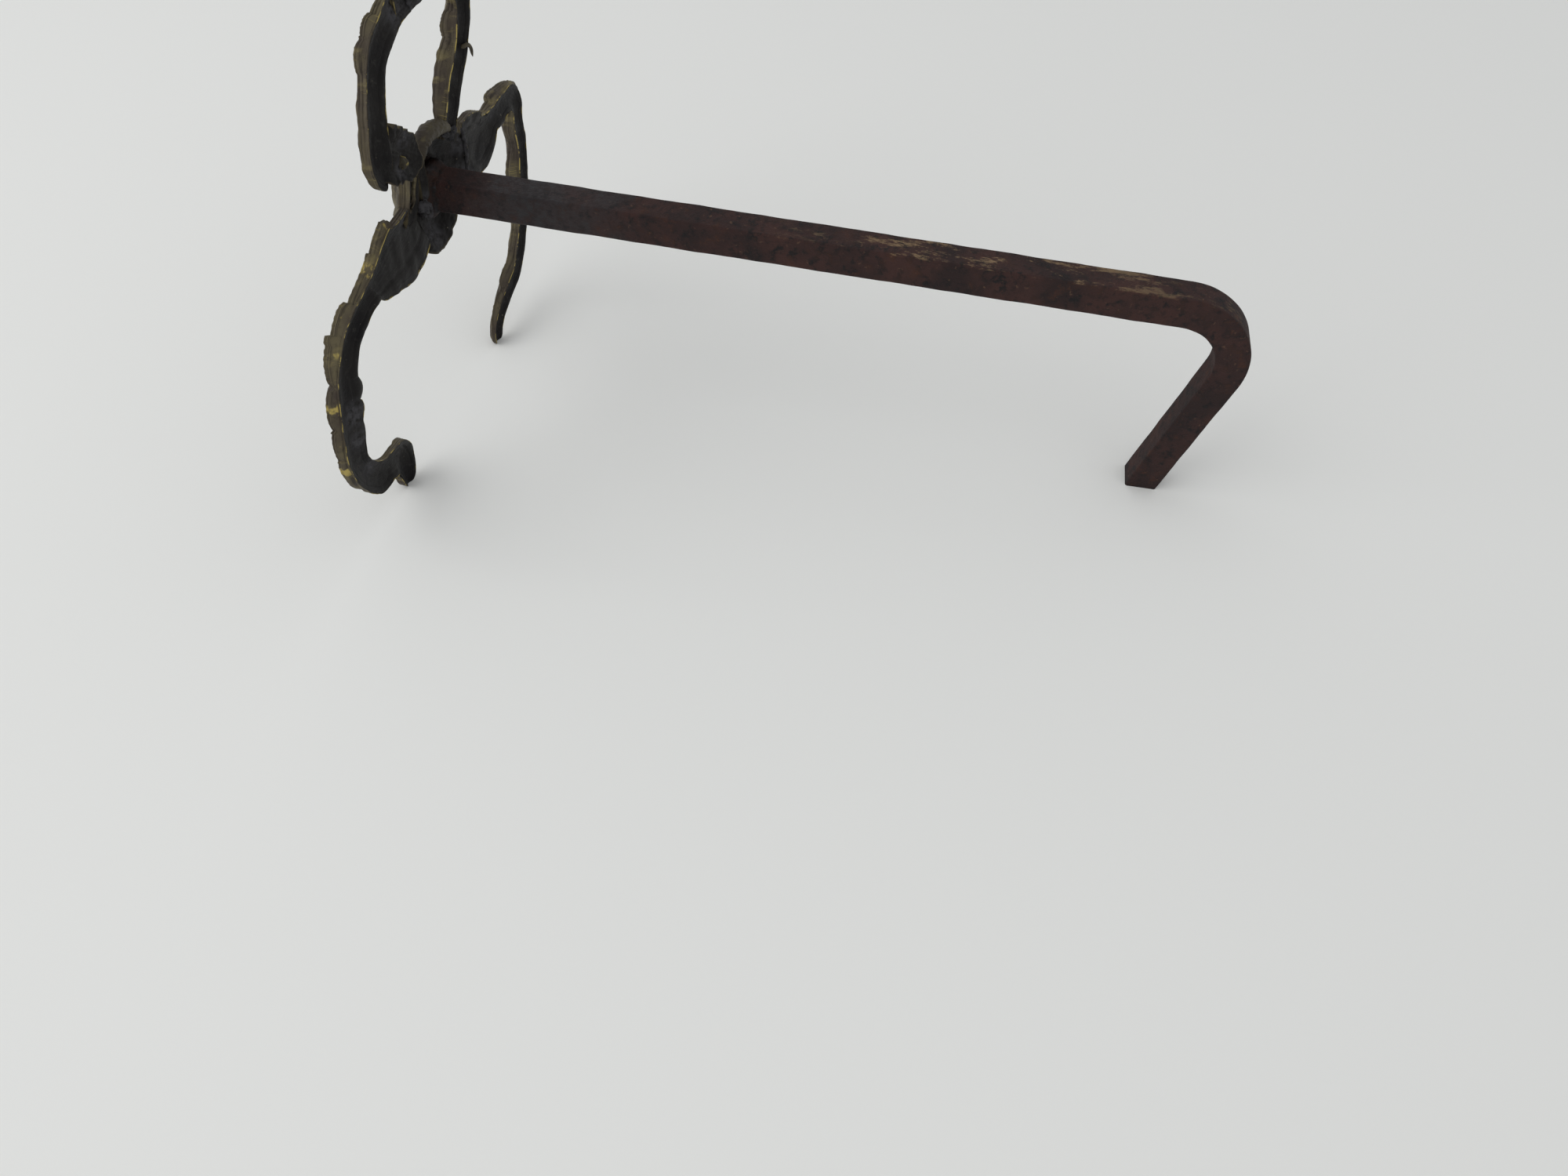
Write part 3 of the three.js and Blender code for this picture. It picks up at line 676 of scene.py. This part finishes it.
# ---- The left arm ----
# The left side of the loop, cast in brass and brazed to the cartouche below and the crest above. It is
# deep, with a leaf along its inner side and a thin bent flash left by the casting.

left_arm_points = [
    (-17, 17, 14, 0, 4.5), (-23, 26, 13, 0, 5), (-31, 37, 14, 0, 6), (-42, 48, 14, 0, 7), (-49, 60, 15, 0, 7),
    (-51, 70, 16, 0, 5), (-45, 82, 16, 0, 4.5), (-31, 90, 17, 0, 4.5), (-13, 93, 17, 0, 4.5),
    (-3, 93.5, 17, 0.1, 4.5),
]
left_arm_lumps = [(0.5, 3.4, -1, 3.6, 1.6, 0.42), (3.3, 4.4, -1, 1.6, 1.2, 0.5)]
flash_points = [(-43, 49.5, 0.9, 0.6), (-47, 49.3, 1.0, -0.4), (-50, 47, 0.9, -0.8), (-52, 41, 0.5, -0.4)]
cast("left_arm_cast", scroll(left_arm_points, seed=7, lumps=left_arm_lumps, rounded=(False, False),
                             braze=[(-17, 18, 7), (-12, 93, 12)]), replaced=["left_arm"])
cast("left_arm_flash", bead(flash_points, 61, plain(wall=0.6, arris=0.2), uneven=0.1))
cast("left_arm_braze", bead([(-25, 20, 1.4, 0.8), (-19, 20, 1.9, 0.6), (-11, 23, 1.4, 0.8)], 62, bare_braze),
     "dark_brass")

# ---- The right arm ----
# The right side of the loop, cast in brass. It ends below in a shell with a notched rim and an eye,
# which a neck and a tail beside the bar join to the right leg's root, where they are brazed.

right_arm_points = [
    (46.5, 37, 11, -3.8, 3.8), (50.5, 42.5, 16, -4, 4.4), (51.8, 50, 18, -4, 5.2), (49.5, 60, 17.5, -4, 5.4),
    (43, 71.5, 17, -2.4, 5), (33, 82, 17, -0.4, 4.5), (22, 88, 16.5, 0, 4.5), (10, 92.5, 17, 0, 4.5),
    (-1, 93.5, 17, 0, 4.5),
]
right_arm_lumps = [(4.4, 5.3, -1, 1.3, 1.2, 0.5), (5.2, 6.1, -1, 1.5, 1.4, 0.5)]
neck_points = [(23, 33, 8, -2.6, 6.5), (24.5, 25, 9, -1.9, 6.5), (26.5, 16, 10, -1.2, 6),
               (29, 7, 10, 0.2, 5.5), (31, 0, 9, 1.8, 5)]
tail_points = [(19, 32, 7, -1.6, 4.5), (17, 22, 8, -1.4, 4.5), (16, 12, 8, -1.0, 4.5), (16, 4, 7, -0.6, 4.5)]
shell_outline = np.array([
    (45, 60.5), (43.2, 58.6), (41, 59.4), (39, 56.9), (36.6, 57.3), (35, 54.4), (32.2, 54), (31, 51.3),
    (28, 50.3), (26.6, 47.6), (23.6, 46), (22.3, 42.6), (20.6, 39), (20, 33.5), (21.5, 28), (27, 26.5),
    (34, 28), (37, 30.4), (40, 30), (43, 33.2), (46, 33.2), (49, 36.4), (52.5, 38.5), (52, 45), (50, 53),
])
eye_points = [(36.5, 40, 2.0, -2.4), (34.5, 37.5, 2.6, -2.6), (33, 35, 1.8, -2.4)]


def domed(outline, moved, *, seed, rim_depth, dome, hollow, flutes, sides, hoops, braze, gold, back=0.0):
    """A casting inside a closed outline: its front swells from the rim to the middle as 1 - share^2.2 of
    the way out, with three flutes that follow the rim, and its back is hollowed as 1 - share^2. "moved"
    gives how much deeper it lies at a place, where "front" is 1 on the front and 0 on the back. Gives
    the rings, which run from the middle of the back over the rim to the middle of the front, and the
    marks for the material."""
    spans = 12
    loop = np.concatenate([outline[-1:], outline, outline[:2]]).astype(float)
    _, spots, _ = through(np.column_stack([loop, np.zeros(len(loop))]), spans)
    spots = spots[spans:spans * len(outline) + spans + 1, :2]
    step = distances(spots)
    even = np.linspace(0, step[-1], sides + 1)[:-1]
    edge = np.stack([np.interp(even, step, spots[:, 0]), np.interp(even, step, spots[:, 1])], -1)
    middle = edge.mean(0)

    share = np.linspace(0.02, 1, hoops)[:, None]
    inwards = share[::-1]
    wave = np.cos(2 * np.pi * 3 * inwards)
    behind = back + hollow * (1 - share ** 2)
    ahead = rim_depth + dome * (1 - inwards ** 2.2) + flutes * wave * inwards
    depth = np.concatenate([behind, ahead])
    shares = np.concatenate([share, inwards * np.where(inwards > 0.99, 0.975, 1)]) * 0.985
    on_rim = np.clip((share - 0.97) / 0.03, 0, 1)
    crests = np.clip(wave, 0, 1) ** 6 * (inwards > 0.2)
    arris = np.concatenate([on_rim, 0.8 * crests])
    walled = np.concatenate([on_rim, np.ones_like(share)])

    across = middle[0] + (edge[:, 0] - middle[0]) * shares
    up = middle[1] + (edge[:, 1] - middle[1]) * shares
    places = np.stack(np.broadcast_arrays(across, up, depth), -1)
    uneven = np.clip(rough(places, seed, (0.45, 13), (0.2, 4.5)), -0.6, 0.6)
    depth = depth + np.concatenate([uneven[:hoops] + 0.3, -0.5 * (uneven[hoops:] + 0.6)])
    front = np.repeat([[0.0], [1.0]], hoops, axis=0)
    depth = depth + moved(across, up, front)
    marks = {"wall": walled, "arris": gold * arris, "braze": brazed(across, up, braze, walled),
             "along": even * mm, "round": shares / 2}
    return drawn(across, up, depth), marks


def shell_moved(across, up, front):
    """How much deeper the shell lies where it passes under the arm's back."""
    return 4.5 * np.clip(((across - 40) * 0.9 + (up - 45) * 0.4 - 2) / 7, 0, 1) ** 1.5


cast("right_arm_cast", scroll(right_arm_points, seed=9, lumps=right_arm_lumps, braze=[(9, 93, 12)],
                              rounded=(True, False), dull_until=2.2), replaced=["right_arm"])
cast("right_arm_neck", scroll(neck_points, seed=10, rounded=(True, True), gold=0.15))
cast("right_arm_tail", scroll(tail_points, seed=10, braze=[(17, 6, 7)], rounded=(True, True), gold=0.1))
cast("right_arm_shell", domed(shell_outline, shell_moved, seed=41, rim_depth=0.6, dome=1.4, hollow=2.4,
                              flutes=0.0, sides=480, hoops=40, braze=[(30, 47, 6), (37, 36, 6)], gold=0.1,
                              back=-4.9))
cast("right_arm_braze", bead([(23, 9, 2.2, -0.4), (19, 3, 3.4, -0.8), (14, 0, 2.2, 0.6)], 63, bare_braze),
     "dark_brass")
cast("right_arm_eye", bead(eye_points, 65, plain(wall=0.3, arris=0.7), uneven=0.2))

# ---- The crest ----
# The scroll on top of the loop, cast in one with its curl, with leaf lumps along its inner side. Its
# foot is brazed to the ends of the two arms.

crest_points = [
    (-3, 85.5, 24, 1.4, 3.6), (-2, 96, 25, 1.0, 4), (5, 112, 22, 0, 4.5), (11, 131, 19, 0, 4.5),
    (9, 154, 18, 0, 4.5), (-5, 173, 18, 0, 4.5), (-26, 180, 18, 0, 4.5), (-42, 170, 16, 0, 4.5),
    (-41, 155, 14, 0, 4.5), (-30, 149, 12, 0, 4.5), (-23, 157, 8, 0, 4.5),
]
crest_lumps = [(2, 3, 1, 4.5, 1.8, 0.35), (3, 4, 1, 4.5, 1.8, 0.4), (4, 5, 1, 4.2, 1.8, 0.4),
               (5, 6, 1, 3.6, 1.6, 0.45)]
cast("crest_cast", scroll(crest_points, seed=11, lumps=crest_lumps, braze=[(-3, 88, 12)]), replaced=["crest"])
cast("loop_braze", bead([(-2, 84.5, 1.0, 0.9), (-2.5, 93, 1.5, 0.9), (-2, 101.5, 1.0, 0.9)], 67, bare_braze),
     "dark_brass")

# ---- The cartouche ----
# A domed casting over the bar's end, with flutes that follow its rim, hollow behind, where the
# collar and the brazing are. A rolled band edges the top of the hollow.

cartouche_outline = np.array([
    (-9, -25), (4, -29), (18, -24), (25.5, -14), (29, 2), (28.5, 12), (26, 20), (20, 26), (10, 26), (-1, 30),
    (-12, 28), (-22, 20), (-33, 11), (-34, -5), (-27, -16), (-18, -19),
])
band_points = [(13.5, 19, 1.8, 1.2), (13, 25.5, 2.9, 1.4), (8.5, 30, 3.6, 1.6), (1, 30.8, 3.9, 1.8),
               (-8, 28.5, 3.8, 2.0), (-16, 24.5, 3.2, 2.0), (-22, 18.5, 2.2, 2.0)]


def cartouche_moved(across, up, front):
    """How much deeper the cartouche lies where the right leg's leaf covers it, less the flattening of
    its front beside the neck."""
    under_leaf = 3.5 * np.clip((across - 14) / 9, 0, 1) * np.clip((14 - up) / 8, 0, 1)
    return under_leaf - front * 7 * np.clip((across - 3) / 13, 0, 1) * np.clip((up + 6) / 12, 0, 1)


cast("cartouche_cast", domed(cartouche_outline, cartouche_moved, seed=31, rim_depth=4.5, dome=20, hollow=11,
                             flutes=1.2, sides=200, hoops=60, braze=[(-31, 8, 8), (-30, -8, 8), (6, -21, 9)],
                             gold=0.3), replaced=["cartouche"])
cast("cartouche_band", bead(band_points, 66, plain(wall=0.5), uneven=0.07))

# ---- The setting ----
# A pale seamless floor, soft light from all round and from a window on the front's right, and the
# camera behind the andiron and above it.

floor_reach = 30
floor_colour = (0.86, 0.86, 0.835, 1)
room_colour = (0.97, 0.985, 1.0, 1)
room_strength = 0.66
window_place = np.array([0.9, -1.6, 1.5])
window_aim = np.array([0, 0, 0.1])
window_size = 2.2
window_power = 17
camera_azimuth = math.radians(11.4773)
camera_elevation = math.radians(53.2323)
camera_roll = math.radians(1.2807)
camera_from_collar = np.array([418.97, 266.75, 301.11]) * mm
camera_lens = 24.5  # this and the sensor's width are in millimetres
camera_sensor = 36


def aim(holder, back, place, roll=0.0):
    """Puts a lamp or camera at a place, looking away from "back", upright but for a roll."""
    level = unit(np.cross([0, 0, 1.0], back))
    upright = np.cross(back, level)
    right = math.cos(roll) * level + math.sin(roll) * upright
    top = math.cos(roll) * upright - math.sin(roll) * level
    columns = [list(axis) + [0] for axis in (right, top, back)] + [list(place) + [1]]
    holder.matrix_world = Matrix(columns).transposed()


floor_corners = [(-floor_reach, -floor_reach, 0), (floor_reach, -floor_reach, 0),
                 (floor_reach, floor_reach, 0), (-floor_reach, floor_reach, 0)]
floor_mesh = bpy.data.meshes.new("floor")
floor_mesh.from_pydata(floor_corners, [], [(0, 1, 2, 3)])
floor = bpy.data.objects.new("floor", floor_mesh)
bpy.context.scene.collection.objects.link(floor)
paper = bpy.data.materials.new("paper")
paper.use_nodes = True
paper.node_tree.nodes["Principled BSDF"].inputs["Base Color"].default_value = floor_colour
paper.node_tree.nodes["Principled BSDF"].inputs["Roughness"].default_value = 0.9
floor_mesh.materials.append(paper)

world = bpy.data.worlds.new("soft_room")
bpy.context.scene.world = world
world.use_nodes = True
world.node_tree.nodes["Background"].inputs["Color"].default_value = room_colour
world.node_tree.nodes["Background"].inputs["Strength"].default_value = room_strength

window_light = bpy.data.lights.new("window", "AREA")
window_light.size = window_size
window_light.energy = window_power
window = bpy.data.objects.new("window", window_light)
bpy.context.scene.collection.objects.link(window)
aim(window, unit(window_place - window_aim), window_place)

camera_data = bpy.data.cameras.new("camera")
camera_data.sensor_width = camera_sensor
camera_data.lens = camera_lens
camera_data.clip_start = 10 * mm
camera = bpy.data.objects.new("camera", camera_data)
bpy.context.scene.collection.objects.link(camera)
camera_back = np.array([math.cos(camera_elevation) * math.cos(camera_azimuth),
                        math.cos(camera_elevation) * math.sin(camera_azimuth), math.sin(camera_elevation)])
aim(camera, camera_back, collar_middle + camera_from_collar, camera_roll)
bpy.context.scene.camera = camera
bpy.context.scene.view_settings.view_transform = "Standard"
